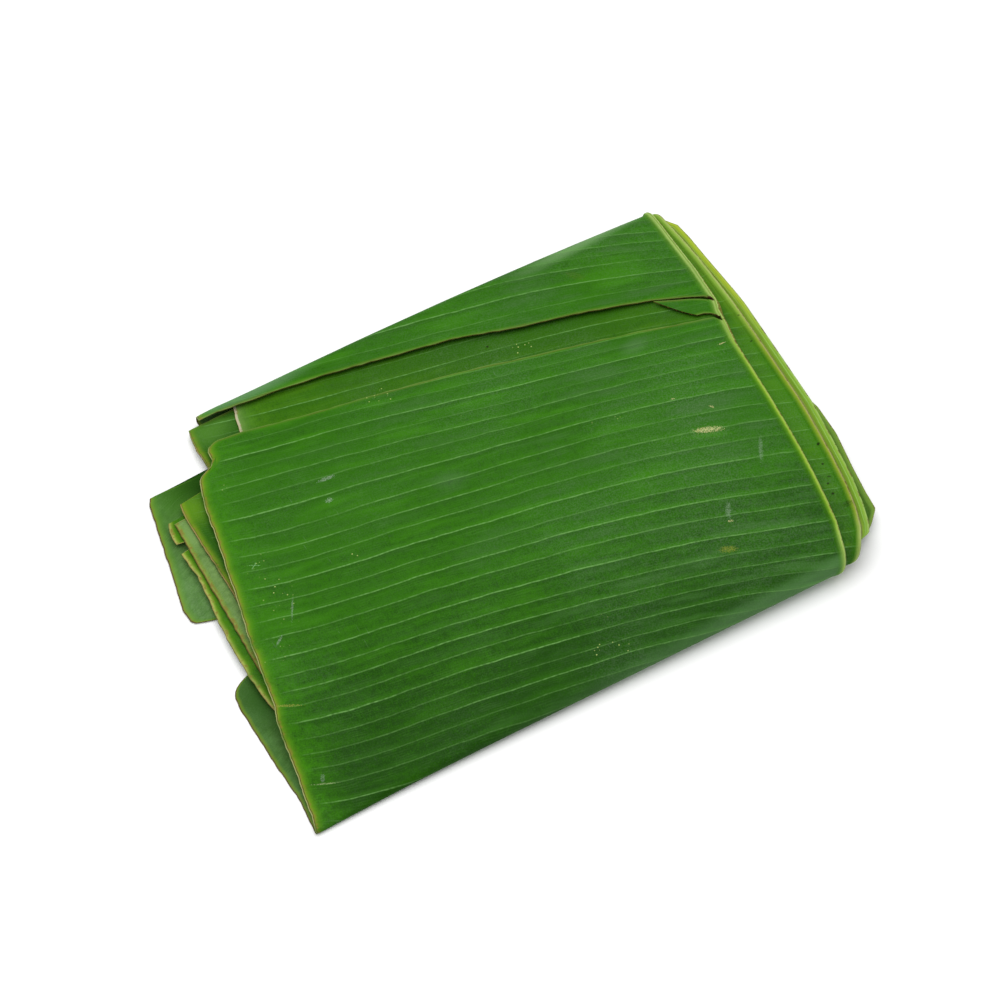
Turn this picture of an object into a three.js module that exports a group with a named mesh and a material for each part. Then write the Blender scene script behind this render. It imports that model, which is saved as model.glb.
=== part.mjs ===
import * as THREE from 'three';

// A folded pack of banana leaf: four long half blades, stripped from their midribs and folded
// flat over each other. Millimetres, X along the veins, +Z up, the pack lying on Z = 0.

// Blades
const BLADE = 0.7;             // thickness of a blade
const RIM = 1.1;               // extra thickness of the band left beside the midrib
const RIM_WIDTH = 4;           // width of that band
const GROUND_Z = BLADE / 2;    // mid-height of a blade that lies on the ground

// Pack
const PACK_LENGTH = 300;       // stretch along the veins over which the folds widen
const NEAR_RADIUS = [1.4, 9.6];  // outer fold at the front, at the margin end and at the midrib end
const FAR_RADIUS = [3, 8.6];     // outer fold at the back
const CROWN = [6, 5];          // how far the middle stands above the folds at the two ends
const SHOULDER = 0.35;         // share of the width over which the top climbs from each fold
const WAVES = [[0.35, 31, 47], [0.25, 17, -23]];   // height, and lengths along x and y
const SECOND_INSET = 2.1;      // second blade under the outer one
const INNER_INSET = 3.3;       // inner blades under the outer one
const THIRD_SHARE = 0.38;      // share of the inner height between the third leaf's two blades
const FOURTH_SHARE = 0.25;     // height of the fourth leaf as a share of the inner height
const UNDER_LIFT = 1.3;        // fourth leaf's lower blade over the outer leaf's tucked end
const MARGIN_DROP = 0.8;       // its margin sags by this, past the tucked end
const FLAP_LIFT = 1.2;         // the torn flap's edge stands off the blades below
const FLAP_FADE = [90, 138];   // stretch along x over which it comes down to the midrib band
const SLIP = 5.5;              // the fourth leaf's lower blade is pulled forward near its margin
const SLIP_PATH = 10;          // path past the fold over which that shift grows
const MIDDLE = [2.346, 12.043];   // middle of the folded pack, moved to the origin

// A place on a leaf is (path, x). Path runs across the veins: along the upper blade from the front
// fold to the back fold, round a fold at either end, and back along the lower blade.
const FRONT = -95;
const BACK = 118;
const FOLD_PATH = 24;          // path given to going round one fold
const LOWER_FRONT = FRONT - FOLD_PATH;
const LOWER_BACK = BACK + FOLD_PATH;

// Triangles
const NORMAL_STEP = 0.2;               // distance over which the blade's slopes are taken
const BAND_COLUMN = 0.6 * RIM_WIDTH;   // width of the band's columns
const MARGIN_SPAN = [-165, -80];       // x between which every row of the outer leaf starts
const HALVINGS = 40;                   // steps by which that start is found

const { clamp, lerp, smoothstep } = THREE.MathUtils;

const along = (x) => clamp((x + PACK_LENGTH / 2) / PACK_LENGTH, -0.03, 1.05);
const frontFold = (x) => -94.4 + 0.022 * x - 2 * Math.max(0, (-60 - x) / 95) ** 2;
const backFold = (x) => 120.4 - 0.00018 * (x + 60) ** 2;

// Value at t on straight lines through points [t, value], in rising t
function outline(points) {
  return (t) => {
    if (t <= points[0][0]) return points[0][1];
    for (let i = 1; i < points.length; i += 1) {
      const [t0, v0] = points[i - 1];
      const [t1, v1] = points[i];
      if (t <= t1) return lerp(v0, v1, (t - t0) / (t1 - t0));
    }
    return points[points.length - 1][1];
  };
}

function packTop(x, y) {
  const across = (y - frontFold(x)) / (backFold(x) - frontFold(x));
  const near = lerp(...NEAR_RADIUS, along(x));
  const far = lerp(...FAR_RADIUS, along(x));
  const rise = smoothstep(across, 0, SHOULDER) * smoothstep(1 - across, 0, SHOULDER);
  const wave = WAVES.reduce((sum, [height, lx, ly]) => sum + height * Math.sin(x / lx + y / ly), 0);
  return GROUND_Z + 2 * lerp(near, far, across) + rise * (lerp(...CROWN, along(x)) + wave);
}

const innerTop = (x, y) => packTop(x, y) - INNER_INSET;
const innerHeight = (x, y) => innerTop(x, y) - GROUND_Z - INNER_INSET;
const thirdLower = (x, y) => innerTop(x, y) - THIRD_SHARE * innerHeight(x, y);
const fourthUpper = (x, y) => GROUND_Z + INNER_INSET + FOURTH_SHARE * innerHeight(x, y);

// Middle of a leaf's blade at a place, and its outward normal
function bladeAt(leaf, path, x) {
  const front = leaf.front(x);
  const back = leaf.back(x);
  if (path >= FRONT && path <= BACK) {
    const y = lerp(front, back, (path - FRONT) / (BACK - FRONT));
    return new THREE.Vector3(x, y, leaf.upper(x, y));
  }
  const side = path < FRONT ? -1 : 1;
  const fold = side < 0 ? front : back;
  const beyond = side < 0 ? FRONT - path : path - BACK;
  const past = beyond - FOLD_PATH;
  if (past > 0) {
    const slip = leaf.slip ? leaf.slip(x) * smoothstep(past, 0, SLIP_PATH) : 0;
    const y = fold - side * past - slip;
    return new THREE.Vector3(x, y, leaf.lower(x, y));
  }
  const top = leaf.upper(x, fold);
  const bottom = leaf.lower(x, fold);
  const radius = (top - bottom) / 2;
  const turn = (Math.PI * beyond) / FOLD_PATH;
  const y = fold + side * radius * Math.sin(turn);
  return new THREE.Vector3(x, y, (top + bottom) / 2 + radius * Math.cos(turn));
}

function bladeNormal(leaf, path, x) {
  const acrossVeins = bladeAt(leaf, path + NORMAL_STEP, x).sub(bladeAt(leaf, path - NORMAL_STEP, x));
  const alongVeins = bladeAt(leaf, path, x + NORMAL_STEP).sub(bladeAt(leaf, path, x - NORMAL_STEP));
  return alongVeins.cross(acrossVeins).normalize();
}

// The band beside the midrib is thicker, on the outer face of the upper blade. It thins out round
// the folds, over the leaf's own share of each.
function rimAt(leaf, path, x) {
  const inBand = smoothstep(x, leaf.right(path) - RIM_WIDTH, leaf.right(path) - BAND_COLUMN);
  const beyondFold = Math.max(FRONT - path, path - BACK);
  const [start, end] = leaf.rimFade;
  return RIM * inBand * (1 - smoothstep(beyondFold, start * FOLD_PATH, end * FOLD_PATH));
}

// Closed blade over a grid of rows across the path and columns along the veins, with the same
// triangles on both faces. A skipped cell is a tear.
function bladeGeometry(leaf) {
  const { rows, columns, skip = () => false } = leaf;
  const positions = [];
  const index = [];
  rows.forEach((row) => {
    for (let j = 0; j <= columns; j += 1) {
      const { path, x } = row(j / columns);
      const middle = bladeAt(leaf, path, x);
      const normal = bladeNormal(leaf, path, x);
      const outer = middle.clone().addScaledVector(normal, BLADE / 2 + rimAt(leaf, path, x));
      const inner = middle.clone().addScaledVector(normal, -BLADE / 2);
      positions.push(...outer.toArray(), ...inner.toArray());
    }
  });
  const corner = (i, j, face) => 2 * (i * (columns + 1) + j) + face;
  const inGrid = (i, j) => i >= 0 && j >= 0 && i < rows.length - 1 && j < columns;
  const present = (i, j) => inGrid(i, j) && !skip(i, j);
  const quad = (a, b, c, d) => index.push(a, b, c, a, c, d);
  for (let i = 0; i < rows.length - 1; i += 1) {
    for (let j = 0; j < columns; j += 1) {
      if (!present(i, j)) continue;
      quad(corner(i, j, 0), corner(i, j + 1, 0), corner(i + 1, j + 1, 0), corner(i + 1, j, 0));
      index.push(corner(i, j, 1), corner(i + 1, j + 1, 1), corner(i, j + 1, 1));
      index.push(corner(i, j, 1), corner(i + 1, j, 1), corner(i + 1, j + 1, 1));
      const wall = (i0, j0, i1, j1) => quad(
        corner(i0, j0, 0), corner(i0, j0, 1), corner(i1, j1, 1), corner(i1, j1, 0));
      if (!present(i - 1, j)) wall(i, j, i, j + 1);
      if (!present(i, j + 1)) wall(i, j + 1, i + 1, j + 1);
      if (!present(i + 1, j)) wall(i + 1, j + 1, i + 1, j);
      if (!present(i, j - 1)) wall(i + 1, j, i, j);
    }
  }
  const geometry = new THREE.BufferGeometry();
  geometry.setAttribute('position', new THREE.Float32BufferAttribute(positions, 3));
  geometry.setIndex(index);
  geometry.computeVertexNormals();
  return geometry;
}

// Evenly spaced values from a to b, b left out
const spaced = (a, b, count) => Array.from({ length: count }, (_, k) => lerp(a, b, k / count));

// Rows that each keep one path value, from margin to midrib edge, with two columns for the band
const straightRows = (leaf, paths) => paths.map((path) => (t) => {
  const column = Math.round(t * leaf.columns);
  const edge = leaf.right(path);
  const plain = leaf.columns - 2;
  let x = edge - (leaf.columns - column) * BAND_COLUMN;
  if (column <= plain) x = lerp(leaf.left(path), edge - RIM_WIDTH, column / plain);
  return { path, x };
});

// Outer leaf: upper blade torn into a main part, a short strip and a flap, all held by the band
// beside the midrib, wrapped round both folds and tucked under
function outerLeaf() {
  const tearLow = outline([[-113, 99], [-111, 102.4], [-106, 104.3], [-92, 102.3], [-76, 98.4], [-59, 94.6],
    [-27, 88.3], [7, 81], [26, 76.7], [52, 69.9], [78, 63.9], [104, 57.4], [130, 50], [139.4, 47.6],
    [141.4, 43]]);
  const stripLow = outline([[133, 52.6], [136.5, 52], [140, 49.9], [141.4, 46]]);
  const stripUp = outline([[118, 71], [127, 66.9], [135, 63.4], [140.8, 59.9], [144, 56.4]]);
  const tearHigh = outline([[-109, 119.5], [-90, 116.8], [-82, 115.9], [-50, 111.9], [-14, 105.4],
    [23, 98.3], [54, 88.9], [87, 80.8], [118, 71.8], [135, 64.9], [143.4, 60.6], [144.2, 57.4]]);
  const left = outline([[-207, -143.5], [-204.6, -151], [-202, -155.5], [-198.5, -157.6], [-194, -158],
    [-172, -157], [-150, -155.5], [-137, -154.2], [-128, -155], [-96.4, -155.3], [-89.2, -153.6],
    [-76.9, -151.8], [-65.8, -150.1], [-53.3, -148.8], [-41, -147], [-34.3, -144.6], [-17, -142.5],
    [2.2, -139.6], [19.5, -136.1], [36.8, -133.2], [56.3, -129.9], [72.7, -127.2], [85.2, -123.8],
    [88.8, -122.1], [91.2, -117.5], [93.2, -112.4], [101, -112.2], [104.3, -108.5], [142, -108],
    [190, -104]]);
  const right = outline([[-207, 120], [-119, 122], [-107, 126.5], [-94.3, 130.8], [-84.6, 133.7],
    [-73, 135.4], [-57, 137.1], [-40, 138.3], [-7, 140], [30, 141.3], [42.6, 143.1], [49.2, 143.6],
    [56, 145.6], [80.5, 146.6], [112.7, 146], [124, 145.2], [130, 147], [142, 147], [190, 146]]);

  // The flap stands off along its torn edge, less towards the back fold and the midrib
  const upper = (x, y) => {
    const path = lerp(FRONT, BACK, (y - frontFold(x)) / (backFold(x) - frontFold(x)));
    const edge = tearHigh(x);
    const share = smoothstep(path, tearLow(x), edge) * (1 - smoothstep(path, edge, BACK + 2));
    return packTop(x, y) + FLAP_LIFT * share * (1 - smoothstep(x, ...FLAP_FADE));
  };
  const leaf = {
    front: frontFold,
    back: backFold,
    upper,
    lower: () => GROUND_Z,
    left,
    right,
    rimFade: [0.4, 0.8],
    columns: 18,
  };

  // Columns: up to the strip's torn end, up to the slits' ends, and the band
  const bandWidth = outline([[30, RIM_WIDTH], [42, 1.6], [60, 1.4], [75, RIM_WIDTH]]);
  const stripEnd = outline([[52, 8.5], [68, 26]]);
  const stripColumn = 12;
  const bandColumn = 16;
  const stripX = 125;
  const bandX = 140;
  const flapStart = -109;
  const row = (pathAt, isFlap) => (t) => {
    let [low, high] = MARGIN_SPAN;
    for (let k = 0; k < HALVINGS; k += 1) {
      const x = (low + high) / 2;
      if (x < left(pathAt(x))) low = x;
      else high = x;
    }
    const start = isFlap ? Math.max(high, flapStart) : high;
    const edge = right(pathAt(bandX));
    const band = edge - bandWidth(pathAt(bandX));
    const strip = band - stripEnd(pathAt(stripX));
    const column = t * leaf.columns;
    let x = lerp(band, edge, (column - bandColumn) / (leaf.columns - bandColumn));
    if (column < bandColumn) x = lerp(strip, band, (column - stripColumn) / (bandColumn - stripColumn));
    if (column < stripColumn) x = lerp(start, strip, column / stripColumn);
    return { path: pathAt(x), x };
  };
  const level = (paths) => paths.map((path) => row(() => path));
  const mainRows = [...spaced(0, 1, 14), 1].map((f) => row((x) => lerp(FRONT, tearLow(x), f)));
  const flapRows = spaced(0, 1, 5).map((f) => row((x) => lerp(tearHigh(x), BACK, f), true));
  const lower = [-207, -204.6, ...spaced(-202, LOWER_FRONT, 6)];
  const before = [...level([...lower, ...spaced(LOWER_FRONT, FRONT, 8)]), ...mainRows];
  const lowRow = before.length - 1;
  leaf.rows = [
    ...before,
    row(stripLow),
    row(stripUp),
    ...flapRows,
    ...level([...spaced(BACK, LOWER_BACK, 8), ...spaced(LOWER_BACK, 190, 3), 190]),
  ];
  leaf.skip = (i, j) => {
    const slit = i === lowRow || i === lowRow + 2;
    return (slit && j < bandColumn) || (i === lowRow + 1 && j < stripColumn);
  };
  return leaf;
}

// Second leaf: inside the outer one, cut off short at its margin end
function secondLeaf() {
  const leaf = {
    front: frontFold,
    back: backFold,
    upper: (x, y) => packTop(x, y) - SECOND_INSET,
    lower: () => GROUND_Z + SECOND_INSET,
    left: outline([[-219, -88], [60, -95], [104, -93], [119, -89.7], [130, -89]]),
    right: outline([[-219, 126], [-119, 128], [-110.6, 133], [-100, 138.4], [-92.7, 142.7],
      [-82, 146.2], [-69, 148.6], [-51, 150.4], [-16, 152.6], [48, 153], [87, 152.4],
      [101, 151.5], [118, 149.6], [130, 148]]),
    rimFade: [0.4, 0.8],
    columns: 12,
  };
  leaf.rows = straightRows(leaf, [...spaced(-219, LOWER_FRONT, 5), ...spaced(LOWER_FRONT, FRONT, 8),
    ...spaced(FRONT, BACK, 14), ...spaced(BACK, BACK + FOLD_PATH / 2, 4), BACK + FOLD_PATH / 2]);
  return leaf;
}

// Third leaf: folded once at the front, its lower blade's pale face up and free at the back
function thirdLeaf() {
  const leaf = {
    front: (x) => frontFold(x) - 0.08 * lerp(...NEAR_RADIUS, along(x)),
    back: backFold,
    upper: innerTop,
    lower: thirdLower,
    left: outline([[-293, -143.4], [-262, -143.2], [-232, -142.6], [-200.5, -142.3],
      [-199, -134], [-180, -105], [-150, -60], [LOWER_FRONT, -22], [FRONT, -20], [-70, -50],
      [-55, -75], [-40, -104], [-17, -135], [27, -135.7], [50, -136.7], [62, -137.4], [73, -137.6],
      [82.6, -136.6], [84.6, -117],
      [93.7, -115.6], [106.5, -116], [118, -114.6]]),
    right: outline([[-293, 128], [LOWER_FRONT, 131], [-107, 136], [-100.5, 139.8], [-97.5, 144.4],
      [-90.6, 148], [-80, 150.8], [-65, 153.5], [-42, 155.5], [-18, 157.4], [50, 157.8],
      [68, 156.9], [85, 156.1], [101.5, 155.5], [112, 154.3], [118, 150.2]]),
    rimFade: [-0.5, 0.1],
    columns: 14,
  };
  leaf.rows = straightRows(leaf, [...spaced(-293, LOWER_FRONT, 12), ...spaced(LOWER_FRONT, FRONT, 6),
    ...spaced(FRONT, 82.6, 12), 82.6, 84.6, 95, 106.5, 112, BACK]);
  return leaf;
}

// Fourth leaf: folded once at the back, its lower blade on the ground at the margin end
function fourthLeaf() {
  const sag = (x) => MARGIN_DROP * smoothstep(-x, 110, 140);
  const leaf = {
    front: frontFold,
    back: (x) => backFold(x) - 8,
    upper: fourthUpper,
    lower: (x) => GROUND_Z + UNDER_LIFT - sag(x),
    slip: (x) => SLIP * smoothstep(x, -134, -114) * (1 - smoothstep(x, -106, -88)),
    left: outline([[-92, -28], [-70, -50], [-60, -80], [-45, -115], [-34, -144.3], [-25, -146.3],
      [-10, -147.6], [8, -148.1], [24, -147.7], [39, -146.3], [51, -145.8], [65, -147.6], [66.3, -139],
      [69.3, -138], [71, -147.3], [78, -147.2], [83.5, -145.6], [85, -102], [BACK, -98],
      [LOWER_BACK, -98],
      [155, -103], [157, -147], [161, -148.8], [176, -151.5], [192, -154.3], [206, -156.7],
      [220, -159.2], [227, -158.6], [229, -157], [231.5, -150], [232.5, -146]]),
    right: outline([[-92, 147.9], [-88, 152.7], [-82, 158.2], [-71, 158.8], [-55, 160.4],
      [-33, 163.3], [-14, 163.2], [10, 158], [30, 152], [BACK, 150], [LOWER_BACK, 140], [232.5, 138]]),
    rimFade: [-0.5, 0.1],
    columns: 14,
  };
  leaf.rows = straightRows(leaf, [-92, -88, -82, ...spaced(-71, 65, 10), 65, 66.3, 69.3, 71, 78, 83.5,
    85, 103, ...spaced(BACK, LOWER_BACK, 6), LOWER_BACK, 155, 157, 161, ...spaced(170, 227, 5), 227,
    229, 232.5]);
  return leaf;
}

function leafMesh(name, leaf, color, roughness) {
  const material = new THREE.MeshStandardMaterial({ color, roughness, metalness: 0, flatShading: true });
  const mesh = new THREE.Mesh(bladeGeometry(leaf), material);
  mesh.name = name;
  return mesh;
}

const pack = new THREE.Group();
pack.position.set(-MIDDLE[0], -MIDDLE[1], 0);
pack.add(
  leafMesh('outer_leaf', outerLeaf(), 0x2f6e22, 0.45),
  leafMesh('second_leaf', secondLeaf(), 0x3f7a22, 0.5),
  leafMesh('third_leaf', thirdLeaf(), 0x4d8a3c, 0.5),
  leafMesh('fourth_leaf', fourthLeaf(), 0x35701f, 0.55),
);

export default pack;
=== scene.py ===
import math

import bpy
import numpy as np
from mathutils import Matrix, Vector


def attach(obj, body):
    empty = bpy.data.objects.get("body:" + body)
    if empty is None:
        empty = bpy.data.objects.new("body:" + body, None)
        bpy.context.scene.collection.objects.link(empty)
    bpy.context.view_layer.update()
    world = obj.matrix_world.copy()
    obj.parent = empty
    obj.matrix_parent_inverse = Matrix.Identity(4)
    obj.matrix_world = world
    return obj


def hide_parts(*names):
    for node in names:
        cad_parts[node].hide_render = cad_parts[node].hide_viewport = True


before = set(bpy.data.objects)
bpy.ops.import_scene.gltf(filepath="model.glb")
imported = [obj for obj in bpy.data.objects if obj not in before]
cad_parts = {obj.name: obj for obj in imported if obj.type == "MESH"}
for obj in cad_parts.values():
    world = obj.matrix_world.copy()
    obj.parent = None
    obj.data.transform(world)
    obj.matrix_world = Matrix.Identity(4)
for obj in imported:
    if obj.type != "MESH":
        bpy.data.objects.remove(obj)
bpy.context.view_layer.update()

# Lengths are in millimetres until a mesh is made
MM = 0.001

# Blades
BLADE = 0.7                    # thickness of a blade
MARGIN_BLADE = 0.3             # thickness at its thin outer margin
RIM = 1.1                      # extra thickness of the band left beside the midrib
RIM_WIDTH = 4                  # width of that band
GROUND_Z = BLADE / 2
MARGIN_TAPER = 3               # over which the blade thins to its margin
VEIN_PITCH = 8.6               # between two lateral veins
VEIN_SPREAD = (0.82, 1.18)     # least and greatest share of it
STRONG_VEIN = (0.75, 1.0)      # strengths that every second vein is drawn from
WEAK_VEIN = (0.3, 0.6)         # the same for those between
VEINED_RUN = (-360, 330)       # run over which a leaf has veins
PLEAT = 0.09                   # height of the low steps from vein to vein
PLEAT_RISE = 0.78              # share of a strip after which it rises to the next step

# Pack
PACK_LENGTH = 300
NEAR_RADIUS = (1.4, 9.6)       # outer fold at the front, at the margin end and at the midrib end
FAR_RADIUS = (3, 8.6)          # outer fold at the back
TAPER_REACH = (-0.03, 1.05)    # shares of the length between which the folds go on growing
CROWN = (6, 5)                 # rise of the pack between its folds
CROWN_REACH = 0.35             # share of the width over which it rises
SECOND_INSET = 2.1             # how far inside the outer leaf the second one lies
INNER_INSET = 3.3              # the same for the third and fourth
THIRD_SHARE = 0.38             # depth of the third leaf's lower blade, as a share of the inner height
FOURTH_SHARE = 0.25            # height of the fourth leaf's upper blade, as a share of the same
FOURTH_SHORT = 8               # how far the fourth leaf's fold stays inside the back fold
UNDER_LIFT = 1.3               # the fourth leaf's lower blade over the ground
MARGIN_DROP = 0.8              # how far it sinks towards its margin
FLAP_LIFT = 1.2                # how far the flap stands off along its torn edge
FLAP_FADE = (90, 138)          # stretch along x over which the flap comes down to the band
SLIP = 5.5                     # the fourth leaf's lower blade is pulled forward near its margin
SLIP_PATH = 10                 # path over which it gets there
MIDDLE = np.array([2.346, 12.043, 0])   # middle of the folded pack, moved to the origin

# A place on a leaf is (path, x). Path runs across the veins: along the upper blade from the front
# fold to the back fold, round a fold at either end, and back along the lower blade.
FRONT = -95
BACK = 118
FOLD_PATH = 24
LOWER_FRONT = FRONT - FOLD_PATH
LOWER_BACK = BACK + FOLD_PATH

# Unevenness, as size and pitch
MARGIN_WEAR = (0.25, 2.5)
VEIN_DRIFT = (0.5, 40)
UPPER_VEIN_DRIFT = (0.25, 14)
LOW_TEAR_WEAR = (0.25, 5)
HIGH_TEAR_WEAR = (0.3, 4)
WEAR_END = (110, 118)          # stretch along x over which the high tear's edge turns even

# Steps of a leaf's mesh
PATH_STEP = 1.5
FOLD_STEPS = 22                                       # round one fold
ALONG_STEP = 2.6
MARGIN_STEPS = (0, 0.3, 0.8, 1.5, 2.5)                # from the margin
BAND_STEPS = (4, 3.4, 2.8, 2.1, 1.4, 0.8, 0.3, 0)     # from the midrib edge
SHARP_ANGLE = math.radians(50)
SLOPE_STEP = 0.2                                      # either side of a point, for its normal
SEARCH_ROUNDS = 30
UNEVEN_KNOTS = 512


# Shape of the pack

def lerp(a, b, t):
    return a + (b - a) * t


def smooth(value, low, high):
    t = np.clip((value - low) / (high - low), 0, 1)
    return t * t * (3 - 2 * t)


def outline(points):
    """Value at t on straight lines through points (t, value), in rising t."""
    at, value = np.array(points, float).T
    return lambda t: np.interp(t, at, value)


def curve(at, value):
    """Smooth curve through points (at, value), in rising at."""
    at, value = np.array(at, float), np.array(value, float)
    slope = np.gradient(value, at)

    def evaluate(t):
        k = np.clip(np.searchsorted(at, t) - 1, 0, len(at) - 2)
        span = at[k + 1] - at[k]
        u = np.clip((t - at[k]) / span, 0, 1)
        return ((1 + 2 * u) * (1 - u) ** 2 * value[k] + u ** 2 * (3 - 2 * u) * value[k + 1]
                + u * (1 - u) * span * ((1 - u) * slope[k] - u * slope[k + 1]))
    return evaluate


def uneven(t, seed, size, pitch):
    """An uneven line that swings by size over about pitch."""
    knots = np.random.default_rng(seed).uniform(-1, 1, UNEVEN_KNOTS)
    place = np.asarray(t) / pitch
    knot = np.floor(place).astype(int)
    share = smooth(place - knot, 0, 1)
    return size * lerp(knots[knot % UNEVEN_KNOTS], knots[(knot + 1) % UNEVEN_KNOTS], share)


def along(x):
    """Share of the pack's length at x, from margin end to midrib end."""
    return np.clip((x + PACK_LENGTH / 2) / PACK_LENGTH, *TAPER_REACH)


def front_fold(x):
    """Where the front fold's roll starts; back_fold gives the same at the back."""
    return -94.4 + 0.022 * x - 2 * np.maximum(0, (-60 - x) / 95) ** 2


def back_fold(x):
    return 120.4 - 0.00018 * (x + 60) ** 2


def pack_top(x, y):
    """Height of the outer leaf's upper blade."""
    across = (y - front_fold(x)) / (back_fold(x) - front_fold(x))
    near = lerp(*NEAR_RADIUS, along(x))
    far = lerp(*FAR_RADIUS, along(x))
    rise = smooth(across, 0, CROWN_REACH) * smooth(1 - across, 0, CROWN_REACH)
    wave = 0.35 * np.sin(x / 31 + y / 47) + 0.25 * np.sin(x / 17 - y / 23)
    return GROUND_Z + 2 * lerp(near, far, across) + rise * (lerp(*CROWN, along(x)) + wave)


def inner_top(x, y):
    """Height of the third leaf's upper blade."""
    return pack_top(x, y) - INNER_INSET


def inner_height(x, y):
    """Room between it and the outer leaf's lower blade."""
    return inner_top(x, y) - GROUND_Z - INNER_INSET


def vein_bend(x):
    """How far a lateral vein drifts towards the front fold as it runs from margin to midrib."""
    return 0.21 * x + 2.5e-6 * (x + 5) ** 3


def vein_lines(seed, first, last):
    """Places of veins from first to last, strong and weak in turn, with their strengths."""
    draw = np.random.default_rng(seed)
    places = [first]
    while places[-1] < last:
        places.append(places[-1] + VEIN_PITCH * draw.uniform(*VEIN_SPREAD))
    strengths = [draw.uniform(*(STRONG_VEIN if k % 2 else WEAK_VEIN)) for k in range(len(places))]
    return places, strengths


class Leaf:
    """One long half blade, folded. Its rows run along the veins, from margin to midrib edge.

    Its outlines left and right give x of the margin and of the midrib edge at each path.
    """

    front = staticmethod(front_fold)
    back = staticmethod(back_fold)
    rim_fade = (-0.5, 0.1)         # turn of the fold over which the thick band runs out
    vein_seed = 1

    @staticmethod
    def slip(x):
        """How far the lower blade is pulled forward."""
        return 0 * x

    def veins(self):
        return vein_lines(self.vein_seed, *VEINED_RUN)

    def vein_place(self, x, run):
        """Run across the veins with their bends taken out: the same value all along one vein."""
        return run + vein_bend(x) + uneven(x, self.vein_seed + 9, *VEIN_DRIFT)

    def left_edge(self, path):
        """The margin with its small waves."""
        return self.left(path) + uneven(path, self.vein_seed + 40, *MARGIN_WEAR)

    def torn_distance(self, path, x):
        """Distance from a torn or cut end of the leaf."""
        return np.minimum(path - self.ends[0], self.ends[1] - path)

    def across(self, x, y):
        """Path of a point on the upper blade."""
        return lerp(FRONT, BACK, (y - self.front(x)) / (self.back(x) - self.front(x)))

    def rows(self):
        """Path and x of every mesh point, row by row, and which of the faces between are there."""
        marks = [self.ends[0], *self.path_marks, self.ends[1]]
        paths = [self.ends[0]]
        for start, end in zip(marks, marks[1:]):
            step = PATH_STEP
            if (start, end) in ((LOWER_FRONT, FRONT), (BACK, LOWER_BACK)):
                step = FOLD_PATH / FOLD_STEPS
            count = max(1, round((end - start) / step))
            paths += [lerp(start, end, k / count) for k in range(1, count + 1)]
        left, right = self.left_edge(np.array(paths)), self.right(np.array(paths))
        count = int((PACK_LENGTH - MARGIN_STEPS[-1]) / ALONG_STEP)
        share = np.arange(1, count)[None] / count
        start = left[:, None] + np.array(MARGIN_STEPS)[None]
        end = right[:, None] - np.array(BAND_STEPS)[None]
        plain = lerp(start[:, -1:], end[:, :1], share)
        x = np.hstack([start, plain, end])
        path = np.repeat(np.array(paths)[:, None], x.shape[1], 1)
        return path, x, np.ones((x.shape[0] - 1, x.shape[1] - 1), bool)


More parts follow.
